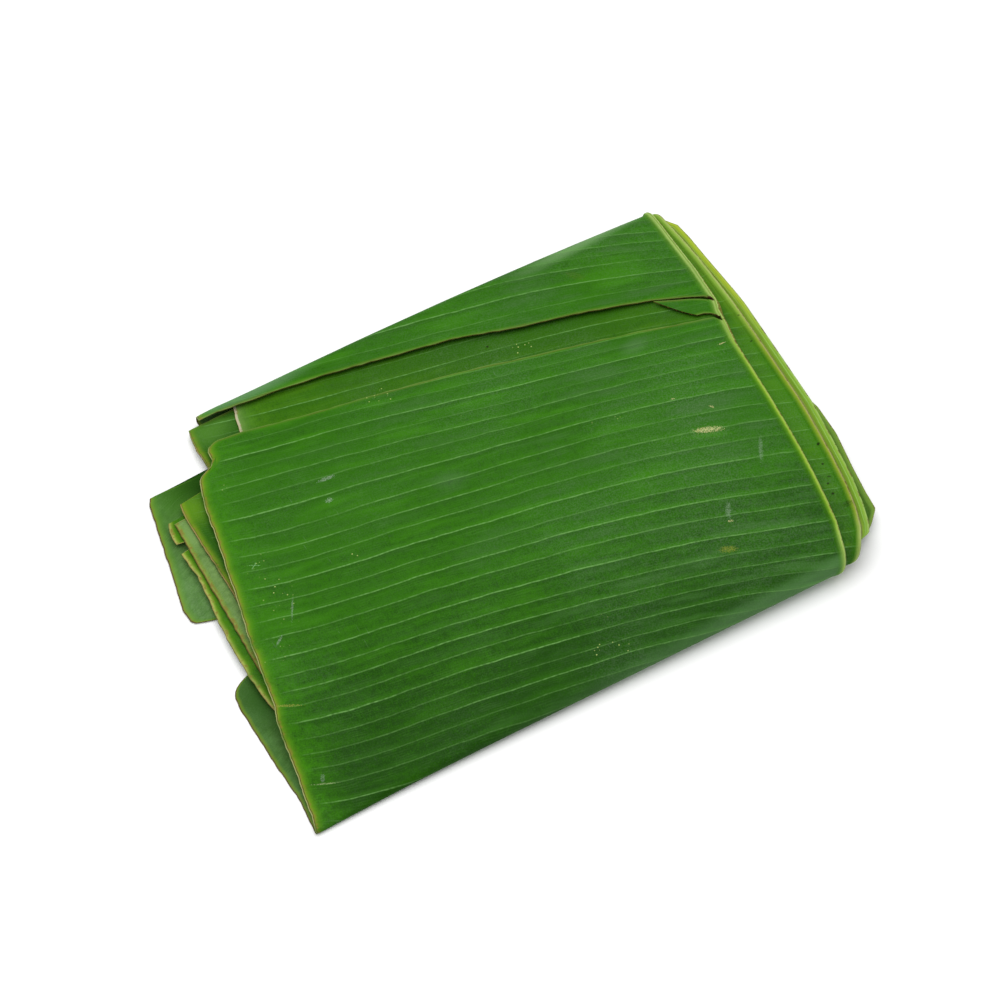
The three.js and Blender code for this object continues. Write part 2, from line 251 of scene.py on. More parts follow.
class OuterLeaf(Leaf):
    """Torn into a main part, a short strip and a flap, all held by the band beside the midrib."""

    ends = (-207, 190)
    rim_fade = (0.4, 0.8)
    vein_seed = 3
    tear_low = staticmethod(outline([
        (-113, 99), (-111, 102.4), (-106, 104.3), (-92, 102.3), (-76, 98.4), (-59, 94.6), (-27, 88.3),
        (7, 81), (26, 76.7), (52, 69.9), (78, 63.9), (104, 57.4), (130, 50), (139.4, 47.6), (141.4, 43)]))
    strip_low = staticmethod(outline([(133, 52.6), (136.5, 52), (140, 49.9), (141.4, 46)]))
    strip_up = staticmethod(outline([(118, 71), (127, 66.9), (135, 63.4), (140.8, 59.9), (144, 56.4)]))
    tear_high = staticmethod(outline([
        (-109, 119.5), (-90, 116.8), (-82, 115.9), (-50, 111.9), (-14, 105.4), (23, 98.3), (54, 88.9),
        (87, 80.8), (118, 71.8), (135, 64.9), (143.4, 60.6), (144.2, 57.4)]))
    left = staticmethod(outline([
        (-207, -143.5), (-204.6, -151), (-202, -155.5), (-198.5, -157.6), (-194, -158), (-172, -157),
        (-150, -155.5), (-137, -154.2), (-128, -155), (-96.4, -155.3), (-89.2, -153.6), (-76.9, -151.8),
        (-65.8, -150.1), (-53.3, -148.8), (-41, -147), (-34.3, -144.6), (-17, -142.5), (2.2, -139.6),
        (19.5, -136.1), (36.8, -133.2), (56.3, -129.9), (72.7, -127.2), (85.2, -123.8), (88.8, -122.1),
        (91.2, -117.5), (93.2, -112.4), (101, -112.2), (104.3, -108.5), (142, -108), (190, -104)]))
    right = staticmethod(outline([
        (-207, 120), (-119, 122), (-107, 126.5), (-94.3, 130.8), (-84.6, 133.7), (-73, 135.4),
        (-57, 137.1), (-40, 138.3), (-7, 140), (30, 141.3), (42.6, 143.1), (49.2, 143.6), (56, 145.6),
        (80.5, 146.6), (112.7, 146), (124, 145.2), (130, 147), (142, 147), (190, 146)]))
    # Bends of the veins: at the stations along x, one curve for each level across the veins
    bend_at = (-150, -135, -110, -80, -45, -10, 30, 70, 105, 142)
    bend_level = (-105, -60, -20, 20, 55, 84, 122)
    bend_rows = (
        (-11.7, -11.9, -9.3, -5.2, -2.2, 0, 1.3, -0.3, -3.8, -7.1),
        (-9.7, -9.2, -7.1, -3.1, -0.3, 0, -0.7, -1.9, -3.7, -4.9),
        (-8.0, -6.8, -5.6, -3.4, -0.4, 0, 0, -0.9, -2.5, -2.8),
        (-6.3, -5.7, -5.1, -3.2, -0.9, 0, 0.9, 2.0, 1.8, 0.6),
        (-4.6, -3.2, -0.8, 0.9, 0.7, 0, -1.8, -1.0, 1.0, 2.0),
        (-2.6, -0.9, 0.2, 0.9, 2.5, 0, -2.3, -4.8, -3.6, 0.2),
        (-1.0, 0, 0, 0, 0.5, 0, 0, 0, -2.0, -5.5))
    # Veins of the upper blade, with their strengths
    upper_veins = (
        (-97.7, 0.35), (-90.2, 0.7), (-82.7, 0.5), (-74.4, 1.0), (-66.4, 0.45), (-58.9, 0.95),
        (-51.2, 0.6), (-41.6, 1.2), (-30.7, 0.75), (-21.5, 1.15), (-13.0, 0.6), (-3.6, 1.05),
        (6.3, 0.6), (14.8, 0.8), (24.5, 0.65), (35.6, 1.0), (44.8, 0.45), (52.6, 0.75), (60.1, 0.35),
        (68.6, 1.1), (76.9, 0.3), (83.8, 0.7), (93.5, 0.3), (101.5, 0.5), (111.0, 0.35),
        (121.0, 0.9), (131.0, 0.8), (137.5, 0.3), (143.0, 0.8), (149.5, 0.7))
    band_width = staticmethod(outline([(30, RIM_WIDTH), (42, 1.6), (60, 1.4), (75, RIM_WIDTH)]))
    strip_end = staticmethod(outline([(52, 8.5), (68, 26)]))
    tear_slack = 0.3               # how far a row's end may lie past the tear's line
    no_tear = 99                   # distance given where no tear is near
    margin_search = (-165.0, -80.0)
    flap_start = -109
    band_at, strip_at = 140, 125   # x at which a row's band and strip are measured
    main_columns, strip_columns = 96, 10
    main_rows, strip_rows, flap_rows = 120, 6, 26

    def veins(self):
        places, strengths = zip(*self.upper_veins)
        front_places, front_strengths = vein_lines(13, VEIN_PITCH - places[0], -VEINED_RUN[0])
        back_places, back_strengths = vein_lines(14, places[-1] + VEIN_PITCH, VEINED_RUN[1])
        return ([-place for place in reversed(front_places)] + list(places) + back_places,
                front_strengths[::-1] + list(strengths) + back_strengths)

    def vein_place(self, x, run):
        place = run + vein_bend(x)
        level = np.interp(place, self.bend_level, np.arange(len(self.bend_level)))
        bend = sum(np.clip(1 - np.abs(level - k), 0, 1) * curve(self.bend_at, row)(x)
                   for k, row in enumerate(self.bend_rows))
        return place - bend + uneven(x, 17, *UPPER_VEIN_DRIFT)

    def upper(self, x, y):
        """The flap stands off along its torn edge, less towards the back fold and the midrib."""
        path, edge = self.across(x, y), self.tear_high(x)
        share = smooth(path, self.tear_low(x), edge) * (1 - smooth(path, edge, BACK + 2))
        return pack_top(x, y) + FLAP_LIFT * share * (1 - smooth(x, *FLAP_FADE))

    def lower(self, x, y):
        return GROUND_Z + 0 * x

    def torn_distance(self, path, x):
        low, high = self.tear_low(x), self.tear_high(x)
        middle = (self.strip_low(x) + self.strip_up(x)) / 2
        before, after = path <= low + self.tear_slack, path >= high - self.tear_slack
        to_low = np.where(before, low - path, self.no_tear)
        to_high = np.where(after, path - high, self.no_tear)
        to_strip = np.where(path > middle, self.strip_up(x) - path, path - self.strip_low(x))
        torn = np.where(before | after, np.minimum(to_low, to_high), to_strip)
        torn = np.where(x > self.right(path) - self.band_width(path), self.no_tear, torn)
        return np.minimum(np.maximum(torn, 0), super().torn_distance(path, x))

    def start_of(self, path_at):
        """Where a row that runs along path_at(x) meets the margin."""
        low, high = self.margin_search
        for _ in range(SEARCH_ROUNDS):
            x = (low + high) / 2
            if x < self.left_edge(path_at(x)):
                low = x
            else:
                high = x
        return high

    def row(self, path_at, in_flap=False):
        """One row of mesh points along path_at(x), closer set at the margin and in the band."""
        start = self.start_of(path_at)
        if in_flap:
            start = max(start, self.flap_start)
        edge = self.right(path_at(self.band_at))
        width = self.band_width(path_at(self.band_at))
        band = edge - width
        strip = band - self.strip_end(path_at(self.strip_at))
        first = start + np.array(MARGIN_STEPS)
        main = lerp(first[-1], strip, np.arange(1, self.main_columns + 1) / self.main_columns)
        to_band = lerp(strip, band, np.arange(1, self.strip_columns) / self.strip_columns)
        last = edge - np.array(BAND_STEPS) * width / RIM_WIDTH
        x = np.concatenate([first, main, to_band, last])
        return path_at(x), x

    def rows(self):
        def level(start, end, step):
            count = round((end - start) / step)
            return [self.row(lambda x, k=k: lerp(start, end, k / count) + 0 * x) for k in range(count)]

        def between(low, high, count, in_flap=False):
            return [self.row(lambda x, k=k: lerp(low(x), high(x), k / count), in_flap)
                    for k in range(count)]

        def low_edge(x):
            return self.tear_low(x) + uneven(x, 61, *LOW_TEAR_WEAR)

        def high_edge(x):
            wear = uneven(x, 62, *HIGH_TEAR_WEAR) * (1 - smooth(x, *WEAR_END))
            return self.tear_high(x) + wear

        fold_step = FOLD_PATH / FOLD_STEPS
        first = level(self.ends[0], LOWER_FRONT, PATH_STEP) + level(LOWER_FRONT, FRONT, fold_step)
        first += between(lambda x: FRONT + 0 * x, low_edge, self.main_rows)
        first.append(self.row(low_edge))
        strip = between(self.strip_low, self.strip_up, self.strip_rows) + [self.row(self.strip_up)]
        flap = between(high_edge, lambda x: BACK + 0 * x, self.flap_rows, True)
        last = level(BACK, LOWER_BACK, fold_step) + level(LOWER_BACK, self.ends[1], PATH_STEP)
        last.append(self.row(lambda x: self.ends[1] + 0 * x))
        rows = first + strip + flap + last
        path = np.array([row[0] for row in rows])
        x = np.array([row[1] for row in rows])
        present = np.ones((x.shape[0] - 1, x.shape[1] - 1), bool)
        strip_column = len(MARGIN_STEPS) - 1 + self.main_columns
        band_column = strip_column + self.strip_columns
        low_row = len(first) - 1
        high_row = low_row + len(strip)
        present[[low_row, high_row], :band_column] = False
        present[low_row + 1:high_row, :strip_column] = False
        return path, x, present


class SecondLeaf(Leaf):
    """Inside the outer one, cut off short at its margin end."""

    ends = (-219, BACK + FOLD_PATH / 2)
    path_marks = (LOWER_FRONT, FRONT, BACK)
    rim_fade = (0.4, 0.8)
    vein_seed = 5
    left = staticmethod(outline([(-219, -88), (60, -95), (104, -93), (119, -89.7), (130, -89)]))
    right = staticmethod(outline([
        (-219, 126), (-119, 128), (-110.6, 133), (-100, 138.4), (-92.7, 142.7), (-82, 146.2), (-69, 148.6),
        (-51, 150.4), (-16, 152.6), (48, 153), (87, 152.4), (101, 151.5), (118, 149.6), (130, 148)]))

    def upper(self, x, y):
        return pack_top(x, y) - SECOND_INSET

    def lower(self, x, y):
        return GROUND_Z + SECOND_INSET + 0 * x


class ThirdLeaf(Leaf):
    """Folded once at the front, its lower blade's pale face up and free at the back."""

    ends = (-293, BACK)
    path_marks = (-200.5, -199, LOWER_FRONT, FRONT, 82.6, 84.6)
    vein_seed = 7
    left = staticmethod(outline([
        (-293, -143.4), (-262, -143.2), (-232, -142.6), (-200.5, -142.3), (-199, -134), (-180, -105),
        (-150, -60), (LOWER_FRONT, -22), (FRONT, -20), (-70, -50), (-55, -75), (-40, -104),
        (-17, -135), (27, -135.7), (50, -136.7), (62, -137.4), (73, -137.6), (82.6, -136.6),
        (84.6, -117), (93.7, -115.6), (106.5, -116), (118, -114.6)]))
    right = staticmethod(outline([
        (-293, 128), (LOWER_FRONT, 131), (-107, 136), (-100.5, 139.8), (-97.5, 144.4), (-90.6, 148),
        (-80, 150.8), (-65, 153.5), (-42, 155.5), (-18, 157.4), (50, 157.8), (68, 156.9), (85, 156.1),
        (101.5, 155.5), (112, 154.3), (118, 150.2)]))

    @staticmethod
    def front(x):
        return front_fold(x) - 0.08 * lerp(*NEAR_RADIUS, along(x))

    def upper(self, x, y):
        return inner_top(x, y)

    def lower(self, x, y):
        return inner_top(x, y) - THIRD_SHARE * inner_height(x, y)


class FourthLeaf(Leaf):
    """Folded once at the back, its lower blade on the ground at the margin end."""

    ends = (-92, 232.5)
    path_marks = (65, 66.3, 69.3, 71, 78, 83.5, 85, BACK, LOWER_BACK, 155, 157, 161, 227, 229)
    vein_seed = 9
    left = staticmethod(outline([
        (-92, -28), (-70, -50), (-60, -80), (-45, -115), (-34, -144.3), (-25, -146.3), (-10, -147.6),
        (8, -148.1), (24, -147.7), (39, -146.3), (51, -145.8), (65, -147.6), (66.3, -139),
        (69.3, -138), (71, -147.3), (78, -147.2), (83.5, -145.6), (85, -102), (BACK, -98),
        (LOWER_BACK, -98), (155, -103), (157, -147), (161, -148.8), (176, -151.5), (192, -154.3),
        (206, -156.7), (220, -159.2), (227, -158.6), (229, -157), (231.5, -150), (232.5, -146)]))
    right = staticmethod(outline([
        (-92, 147.9), (-88, 152.7), (-82, 158.2), (-71, 158.8), (-55, 160.4), (-33, 163.3), (-14, 163.2),
        (10, 158), (30, 152), (BACK, 150), (LOWER_BACK, 140), (232.5, 138)]))

    @staticmethod
    def back(x):
        return back_fold(x) - FOURTH_SHORT

    def upper(self, x, y):
        return GROUND_Z + INNER_INSET + FOURTH_SHARE * inner_height(x, y)

    def lower(self, x, y):
        return GROUND_Z + UNDER_LIFT - MARGIN_DROP * smooth(-x, 110, 140)

    @staticmethod
    def slip(x):
        return SLIP * smooth(x, -134, -114) * (1 - smooth(x, -106, -88))


# Meshes of the leaves

def blade_at(leaf, path, x):
    """Middle of a leaf's blade, and the length run across the veins to reach it."""
    front, back = leaf.front(x), leaf.back(x)
    level_y = lerp(front, back, (path - FRONT) / (BACK - FRONT))
    side = np.where(path < FRONT, -1, 1)
    fold = np.where(side < 0, front, back)
    beyond = np.maximum(FRONT - path, path - BACK)
    top, bottom = leaf.upper(x, fold), leaf.lower(x, fold)
    radius = (top - bottom) / 2
    turn = np.pi * np.clip(beyond / FOLD_PATH, 0, 1)
    fold_y = fold + side * radius * np.sin(turn)
    fold_z = (top + bottom) / 2 + radius * np.cos(turn)
    past = np.maximum(beyond - FOLD_PATH, 0)
    lower_y = fold - side * past - leaf.slip(x) * smooth(past, 0, SLIP_PATH)
    on_top, below = beyond <= 0, beyond > FOLD_PATH
    y = np.where(on_top, level_y, np.where(below, lower_y, fold_y))
    z = np.where(on_top, leaf.upper(x, level_y), np.where(below, leaf.lower(x, lower_y), fold_z))
    run = np.where(on_top, level_y, fold + side * (radius * turn + past))
    return np.stack([x, y, z], -1), run


def blade_normal(leaf, path, x):
    """Direction straight out of the blade's outer face."""
    step = SLOPE_STEP
    across = blade_at(leaf, path + step, x)[0] - blade_at(leaf, path - step, x)[0]
    lengthwise = blade_at(leaf, path, x + step)[0] - blade_at(leaf, path, x - step)[0]
    normal = np.cross(lengthwise, across)
    return normal / np.linalg.norm(normal, axis=-1, keepdims=True)


def band_rise(leaf, path, to_midrib):
    """Extra thickness of the band beside the midrib, which runs out round the fold."""
    beyond = np.maximum(FRONT - path, path - BACK) / FOLD_PATH
    profile = smooth(RIM_WIDTH - to_midrib, 0, 0.4 * RIM_WIDTH) * lerp(0.6, 1, smooth(to_midrib, 0, 1))
    return RIM * profile * (1 - smooth(beyond, *leaf.rim_fade))


def leaf_object(name, leaf):
    """Closed mesh of a leaf, with its place on the leaf kept for the materials."""
    path, x, present = leaf.rows()
    middle, run = blade_at(leaf, path, x)
    normal = blade_normal(leaf, path, x)
    to_margin = x - leaf.left_edge(path)
    to_midrib = np.maximum(leaf.right(path) - x, 0)
    to_torn = np.maximum(leaf.torn_distance(path, x), 0)
    vein_place = leaf.vein_place(x, run)
    places, strengths = leaf.veins()
    vein_number = np.interp(vein_place, places, np.arange(len(places)))
    vein_strength = np.interp(vein_place, places, strengths)
    vein_spacing = np.interp(vein_place, places, np.gradient(places))
    half = lerp(MARGIN_BLADE, BLADE, smooth(to_margin, 0, MARGIN_TAPER)) / 2
    fade = smooth(to_margin, 1, 14) * smooth(to_midrib, 4, 12) * smooth(to_torn, 0.5, 6)
    between = vein_number % 1
    step = lerp(0.5, -0.5, between) + smooth(between, PLEAT_RISE, 1)
    pleat = PLEAT * fade * np.clip(vein_strength, 0, 1) * step
    rise = band_rise(leaf, path, to_midrib)
    outer = middle + normal * (half + rise + pleat)[..., None]
    inner = middle - normal * (half - pleat)[..., None]
    count = x.size
    points = (np.concatenate([outer.reshape(-1, 3), inner.reshape(-1, 3)]) - MIDDLE) * MM

    number = np.arange(count).reshape(x.shape)
    a, b, c, d = number[:-1, :-1], number[:-1, 1:], number[1:, 1:], number[1:, :-1]
    outer_faces = np.stack([a, b, c, d], -1)[present]
    inner_faces = np.stack([a, d, c, b], -1)[present] + count
    framed = np.pad(present, 1)
    walls = []
    for start, end, neighbour in (
            (a, b, framed[:-2, 1:-1]), (b, c, framed[1:-1, 2:]),
            (c, d, framed[2:, 1:-1]), (d, a, framed[1:-1, :-2])):
        bare = present & ~neighbour
        s, e = start[bare], end[bare]
        walls.append(np.stack([s, s + count, e + count, e], -1))
    walls = np.concatenate(walls)
    faces = np.concatenate([outer_faces, inner_faces, walls])
    used, faces = np.unique(faces, return_inverse=True)
    faces = faces.reshape(-1, 4)

    mesh = bpy.data.meshes.new(name)
    mesh.from_pydata(points[used].tolist(), [], faces.tolist())
    place = np.stack([x, run, vein_place], -1).reshape(-1, 3)
    vein = np.stack([vein_number, vein_strength, vein_spacing], -1).reshape(-1, 3)
    edges = np.stack([to_margin, to_midrib, to_torn], -1).reshape(-1, 3)
    for label, values in (("place", place), ("vein", vein), ("edges", edges)):
        data = np.concatenate([values, values])[used].astype(np.float32)
        mesh.attributes.new(label, "FLOAT_VECTOR", "POINT").data.foreach_set("vector", data.ravel())
    side = np.repeat([1.0, 0.0], count)[used].astype(np.float32)
    mesh.attributes.new("side", "FLOAT", "POINT").data.foreach_set("value", side)
    cut = np.zeros(len(faces), np.float32)
    cut[-len(walls):] = 1
    mesh.attributes.new("cut", "FLOAT", "FACE").data.foreach_set("value", cut)
    mesh.polygons.foreach_set("use_smooth", np.ones(len(faces), bool))
    mesh.set_sharp_from_angle(angle=SHARP_ANGLE)
    mesh.update()
    leaf_piece = bpy.data.objects.new(name, mesh)
    bpy.context.scene.collection.objects.link(leaf_piece)
    return leaf_piece


# Shader helpers

class Nodes:
    """Adds linked nodes to a shader tree."""

    def __init__(self, tree):
        self.tree = tree

    def add(self, kind, **settings):
        node = self.tree.nodes.new(kind)
        for name, value in settings.items():
            setattr(node, name, value)
        return node

    def feed(self, socket, value):
        if isinstance(value, bpy.types.NodeSocket):
            self.tree.links.new(value, socket)
        else:
            socket.default_value = value

    def math(self, operation, a, b=0.0):
        node = self.add("ShaderNodeMath", operation=operation)
        self.feed(node.inputs[0], a)
        self.feed(node.inputs[1], b)
        return node.outputs[0]

    def times(self, *factors):
        result = factors[0]
        for factor in factors[1:]:
            result = self.math("MULTIPLY", result, factor)
        return result

    def swing(self, start, *terms):
        """Start plus, for each (noise, size), the noise's swing about its middle times size."""
        for noise, size in terms:
            start = self.math("ADD", start, self.times(self.math("SUBTRACT", noise, 0.5), size))
        return start

    def span(self, value, low, high, start=0.0, end=1.0):
        """Value going smoothly from start at low to end at high."""
        node = self.add("ShaderNodeMapRange", interpolation_type="SMOOTHSTEP")
        for socket, number in zip(node.inputs, (value, low, high, start, end)):
            self.feed(socket, number)
        return node.outputs[0]

    def mix(self, factor, a, b):
        node = self.add("ShaderNodeMix", data_type="RGBA", clamp_factor=True)
        self.feed(node.inputs["Factor"], factor)
        self.feed(node.inputs[6], a)
        self.feed(node.inputs[7], b)
        return node.outputs[2]

    def stripes(self, under, distance, stops, share=1.0):
        """Stripes along an edge, painted over under, from stops of distance, colour and cover."""
        reach = stops[-1][0]
        ramp = self.add("ShaderNodeValToRGB")
        self.feed(ramp.inputs[0], self.math("DIVIDE", distance, reach))
        elements = ramp.color_ramp.elements
        elements.remove(elements[-1])
        for at, colour, cover in stops:
            element = elements.new(at / reach) if at else elements[0]
            element.color = (*colour[:3], cover)
        return self.mix(self.times(ramp.outputs["Alpha"], share), under, ramp.outputs["Color"])

    def parts(self, vector):
        node = self.add("ShaderNodeSeparateXYZ")
        self.feed(node.inputs[0], vector)
        return node.outputs

    def vector(self, x, y, z=0.0):
        node = self.add("ShaderNodeCombineXYZ")
        for socket, value in zip(node.inputs, (x, y, z)):
            self.feed(socket, value)
        return node.outputs[0]

    def noise(self, place, scale, detail=2.0, roughness=0.5):
        node = self.add("ShaderNodeTexNoise")
        self.feed(node.inputs["Vector"], place)
        node.inputs["Scale"].default_value = scale
        node.inputs["Detail"].default_value = detail
        node.inputs["Roughness"].default_value = roughness
        return node.outputs["Fac"]

    def grain(self, x, x_scale, y, y_scale, detail=2.0, roughness=0.5):
        """Noise in a plane, drawn out along x or y."""
        place = self.vector(self.times(x, x_scale), self.times(y, y_scale))
        return self.noise(place, 1.0, detail, roughness)

    def attribute(self, name, output="Vector"):
        node = self.add("ShaderNodeAttribute", attribute_name=name)
        return node.outputs[output]


def shader_group(name, inputs, outputs, build):
    """A node group with named inputs, given with their defaults, and named outputs."""
    tree = bpy.data.node_groups.new(name, "ShaderNodeTree")
    for label, value in inputs.items():
        kind = "NodeSocketVector" if isinstance(value, tuple) else "NodeSocketFloat"
        socket = tree.interface.new_socket(label, in_out="INPUT", socket_type=kind)
        socket.default_value = value
    for label in outputs:
        tree.interface.new_socket(label, in_out="OUTPUT", socket_type="NodeSocketFloat")
    nodes = Nodes(tree)
    given = nodes.add("NodeGroupInput").outputs
    result = nodes.add("NodeGroupOutput")
    for label, value in build(nodes, given).items():
        nodes.feed(result.inputs[label], value)
    return tree


def placed(nodes, group, **values):
    """The group's node, fed by input name."""
    node = nodes.add("ShaderNodeGroup", node_tree=group)
    for label, value in values.items():
        nodes.feed(node.inputs[label], value)
    return node.outputs


# Effects that every leaf uses. Place holds x along the veins, the run across them, and the run with
# the veins' bends taken out, in millimetres. Vein holds the vein number, strength and spacing. Edges
# holds the distances from margin, midrib edge and torn edge.

def lateral_veins(n, given):
    """Pale lateral veins with a painted lit side and a painted shaded side, and finer veins between them.
    """
    x = n.parts(given["Place"])[0]
    number, strength, spacing = n.parts(given["Vein"])
    to_margin, to_midrib = n.parts(given["Edges"])[:2]
    whole = n.math("ROUND", number)
    off = n.times(n.math("SUBTRACT", number, whole), spacing)
    off = n.swing(off, (n.grain(x, 0.12, whole, 5.1, 3.0), 0.9))
    apart = n.math("ABSOLUTE", off)
    slow = n.grain(x, 0.02, whole, 7.3)
    quick = n.grain(x, 0.5, whole, 3.1, 3.0)
    strength = n.times(strength, n.span(slow, 0.3, 0.62, 0.45, 1.05),
                       n.span(n.math("ADD", to_margin, n.times(quick, 6.0)), 6.0, 16.0),
                       n.span(to_midrib, 2.0, 6.0, 0.35, 1.0))
    core = n.times(n.span(apart, 0.1, 0.5, 1.0, 0.0), n.span(quick, 0.3, 0.68, 0.5, 1.25))
    line = n.times(core, strength)
    lit = n.times(n.span(off, 0.0, 0.7), n.span(off, 0.7, 3.2, 1.0, 0.0), strength)
    shaded = n.times(n.span(off, -0.8, -0.2, 1.0, 0.0), n.span(off, -3.4, -0.8), strength)
    fine_number = n.swing(n.times(number, 7.0), (n.grain(x, 0.1, number, 3.0), 1.2))
    fine = n.math("ABSOLUTE", n.math("SUBTRACT", fine_number, n.math("ROUND", fine_number)))
    fine = n.times(n.span(fine, 0.06, 0.4, 1.0, 0.0), n.span(n.grain(x, 0.08, number, 2.0), 0.42, 0.7))
    height = n.math("ADD", n.times(line, 0.07), n.times(fine, 0.012))
    return {"Line": line, "Lit": lit, "Shaded": shaded, "Fine": fine, "Height": height}


def cross_grain(n, given):
    """Faint streaks across and along the veins, the tone of each strip, and fine mottling."""
    x, run, straight = n.parts(given["Place"])
    number = n.parts(given["Vein"])[0]
    return {"Streaks": n.grain(x, 1.3, run, 0.22, 3.0, 0.6),
            "Fibres": n.grain(x, 0.16, straight, 1.3, 4.0, 0.6),
            "Strip": n.grain(x, 0.006, n.math("FLOOR", number), 5.7, 1.0),
            "Mottle": n.grain(x, 0.3, run, 0.3, 4.0, 0.6),
            "Pebble": n.grain(x, 1.5, run, 1.5, 2.0, 0.7)}


def worn_edge(n, given):
    """Distance from an edge that wanders by Wander, slow patches along it, and streaks beside it."""
    wander = n.noise(given["Place"], 0.6, 4.0, 0.7)
    run = n.parts(given["Place"])[1]
    return {"Off": n.swing(given["Distance"], (wander, given["Wander"])),
            "Patch": n.noise(given["Place"], 0.05, 3.0),
            "Streak": n.grain(given["Distance"], 1.6, run, 0.05, 3.0, 0.7)}


def bloom_and_scuffs(n, given):
    """Waxy bloom in soft patches, short pale scratches, clustered pale specks, lone dark specks."""
    at = given["Position"]
    bloom = n.times(n.span(n.noise(at, 16.0, 4.0, 0.6), 0.35, 0.75, 0.2, 1.0),
                    n.span(n.noise(at, 1300.0, 2.0, 0.7), 0.36, 0.7, 0.0, 2.2))
    stretch = n.add("ShaderNodeMapping")
    n.feed(stretch.inputs["Vector"], at)
    stretch.inputs["Rotation"].default_value = (0.0, 0.0, 0.9)
    stretch.inputs["Scale"].default_value = (900.0, 110.0, 110.0)
    scratch = n.times(n.span(n.noise(stretch.outputs[0], 1.0), 0.69, 0.77),
                      n.span(n.noise(at, 20.0), 0.5, 0.62))
    marks = {}
    for label, scale, inner, outer, low, high in (("Pale Specks", 520.0, 0.1, 0.24, 0.55, 0.6),
                                                  ("Dark Specks", 150.0, 0.04, 0.14, 0.86, 0.88)):
        cells = n.add("ShaderNodeTexVoronoi")
        n.feed(cells.inputs["Vector"], at)
        cells.inputs["Scale"].default_value = scale
        pick = n.parts(cells.outputs["Color"])
        marks[label] = n.times(n.span(cells.outputs["Distance"], inner, outer, 1.0, 0.0),
                               n.span(pick[0], low, high))
    return {"Bloom": bloom, "Scratch": scratch, **marks}


def single_mark(n, given):
    """One mark at a place on the leaf, with a soft or ragged outline."""
    away = n.add("ShaderNodeVectorMath", operation="SUBTRACT")
    n.feed(away.inputs[0], given["Place"])
    n.feed(away.inputs[1], given["Centre"])
    turned = n.add("ShaderNodeVectorRotate", rotation_type="Z_AXIS")
    n.feed(turned.inputs["Vector"], away.outputs[0])
    n.feed(turned.inputs["Angle"], given["Turn"])
    lengthwise, crosswise = n.parts(turned.outputs[0])[:2]
    lengthwise = n.math("POWER", n.math("ABSOLUTE", n.math("DIVIDE", lengthwise, given["Length"])), 2.0)
    crosswise = n.math("POWER", n.math("ABSOLUTE", n.math("DIVIDE", crosswise, given["Width"])), 2.0)
    distance = n.math("SQRT", n.math("ADD", lengthwise, crosswise))
    distance = n.swing(distance, (n.noise(given["Place"], 1.6, 3.0, 0.7), given["Ragged"]))
    return {"Mask": n.span(distance, given["Core"], 1.1, 1.0, 0.0)}


ORIGIN = (0.0, 0.0, 0.0)
VEINS = shader_group("Lateral veins", {"Place": ORIGIN, "Vein": ORIGIN, "Edges": ORIGIN},
                     ("Line", "Lit", "Shaded", "Fine", "Height"), lateral_veins)
GRAIN = shader_group("Cross grain", {"Place": ORIGIN, "Vein": ORIGIN},
                     ("Streaks", "Fibres", "Strip", "Mottle", "Pebble"), cross_grain)
EDGE = shader_group("Worn edge", {"Place": ORIGIN, "Distance": 0.0, "Wander": 0.5},
                    ("Off", "Patch", "Streak"), worn_edge)
SCUFFS = shader_group("Bloom and scuffs", {"Position": ORIGIN},
                      ("Bloom", "Scratch", "Pale Specks", "Dark Specks"), bloom_and_scuffs)
MARK = shader_group("Single mark", {"Place": ORIGIN, "Centre": ORIGIN, "Length": 5.0, "Width": 1.0,
                                    "Turn": 0.0, "Ragged": 1.6, "Core": 0.75}, ("Mask",), single_mark)


# Leaf colours, as linear light
DEEP_GREEN = (0.009, 0.05, 0.001, 1)
MID_GREEN = (0.023, 0.118, 0.002, 1)
FRESH_GREEN = (0.038, 0.18, 0.002, 1)
COOL_GREEN = (0.034, 0.115, 0.016, 1)
VEIN_GREEN = (0.13, 0.30, 0.075, 1)
YELLOW_GREEN = (0.16, 0.27, 0.012, 1)
LIME = (0.27, 0.42, 0.05, 1)
PALE_LIME = (0.36, 0.50, 0.15, 1)
DRIED_BROWN = (0.05, 0.026, 0.01, 1)
LINE_BROWN = (0.10, 0.06, 0.015, 1)
OCHRE = (0.18, 0.12, 0.025, 1)
DRIED_OLIVE = (0.20, 0.15, 0.03, 1)
TAN = (0.34, 0.26, 0.09, 1)
CREAM = (0.46, 0.44, 0.20, 1)
PALE_FOLD = (0.33, 0.46, 0.15, 1)
TORN_WALL = (0.17, 0.17, 0.035, 1)
SCAR = (0.38, 0.37, 0.12, 1)
BLOOM = (0.34, 0.42, 0.33, 1)
# Pale green of the painted sheen over the front fold, also used for two thin pale marks
SHEEN_AND_MARK_GREEN = (0.22, 0.46, 0.18, 1)
SPECK_PALE = (0.42, 0.52, 0.16, 1)
SPECK_DARK = (0.012, 0.018, 0.005, 1)


